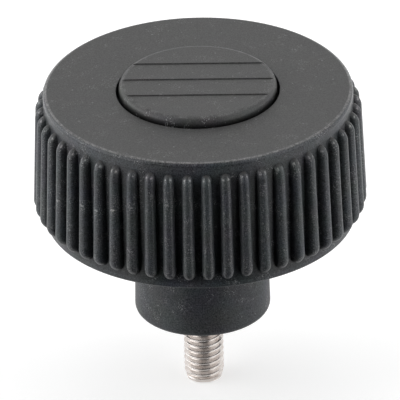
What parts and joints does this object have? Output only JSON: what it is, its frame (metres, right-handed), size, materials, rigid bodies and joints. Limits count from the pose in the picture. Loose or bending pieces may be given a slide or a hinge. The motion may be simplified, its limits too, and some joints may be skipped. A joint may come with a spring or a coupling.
{
  "type": "knurled knob",
  "caption": "Round hand knob with a ribbed skirt, a hub below it, a grooved snap-in cover cap and a metric threaded stud, for clamping or adjusting by hand.",
  "frame": {"origin": "on the knob's axis, in the plane of the hub's seat, where the thread leaves the hub", "axes": "+Z along the axis from the stud towards the cover cap, -Y the front, +X within two degrees of the cap's grooves"},
  "size_m": [0.05, 0.05, 0.0504],
  "materials": {
    "body_plastic": "fine spark-eroded texture, matt black-grey",
    "cap_plastic": "fine spark-eroded texture, matt black-grey",
    "stud_steel": "bare stainless steel, rolled thread"
  },
  "bodies": {
    "root": {"knob_body": "body_plastic", "cover_cap": "cap_plastic", "threaded_stud": "stud_steel"}
  },
  "joints": []
}
